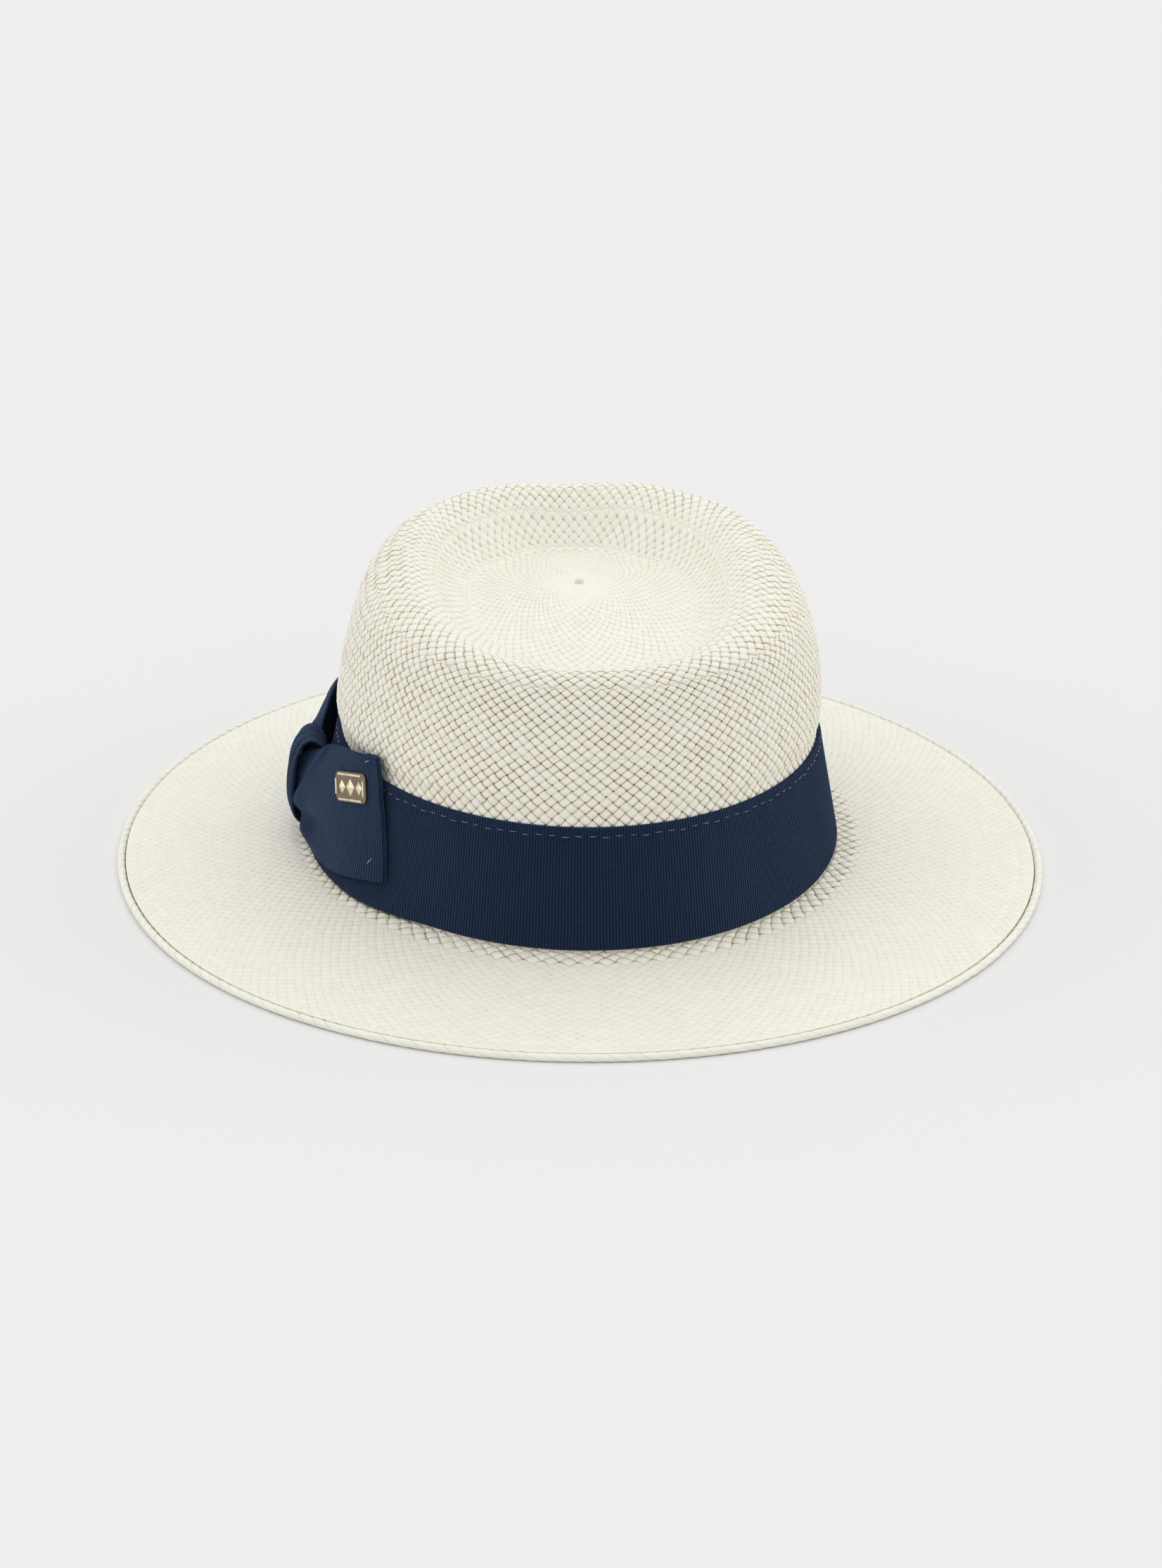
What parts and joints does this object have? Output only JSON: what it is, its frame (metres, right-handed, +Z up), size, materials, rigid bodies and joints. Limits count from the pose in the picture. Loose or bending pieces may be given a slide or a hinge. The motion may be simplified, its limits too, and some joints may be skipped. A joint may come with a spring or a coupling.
{
  "type": "fedora hat",
  "caption": "Woven straw fedora with a centre-dent crown, flat braided-edge brim, ribbed ribbon with a flat side bow and small metal badge, and a leather sweatband inside.",
  "frame": {"origin": "centre of the bounding box's underside, in the plane of the brim border's flat lower face, which the hat stands on", "axes": "+Y towards the front of the hat, +X towards the wearer's right, +Z up; the bow is on the wearer's left, at -X"},
  "size_m": [0.3022, 0.3364, 0.1016],
  "materials": {
    "straw": "woven, matte",
    "straw_border": "braided, matte",
    "ribbon": "ribbed, matte",
    "gather_thread": "matte",
    "bow_ribbon": "ribbed, matte",
    "tack_thread": "matte",
    "badge_metal": "antiqued",
    "washer_metal": "satin",
    "sweatband_leather": "smooth, satin",
    "reed": "matte",
    "reed_tape": "matte",
    "sweatband_thread": "matte",
    "seam_leather": "smooth, satin",
    "small_bow": "satin",
    "label_cloth": "satin"
  },
  "bodies": {
    "hat": {"straw_body": "straw", "brim_border": "straw_border", "hat_band": "ribbon", "band_gather_thread": "gather_thread", "bow_near_wing": "bow_ribbon", "bow_far_wing": "bow_ribbon", "bow_knot": "bow_ribbon", "bow_tack_stitches": "tack_thread", "badge": "badge_metal", "badge_washer": "washer_metal", "sweatband": "sweatband_leather", "sweatband_reed": "reed", "reed_tape": "reed_tape", "sweatband_stitching": "sweatband_thread", "back_seam_tape": "seam_leather", "sweatband_bow": "small_bow"},
    "label": {"size_label": "label_cloth"}
  },
  "joints": [
    {"name": "label_flap", "type": "hinge", "parent": "hat", "child": "label", "pos_m": [0.02453, -0.08657, 0.0265], "axis": [0.922, 0.3872, 0], "range_deg": [-6, 150]}
  ]
}
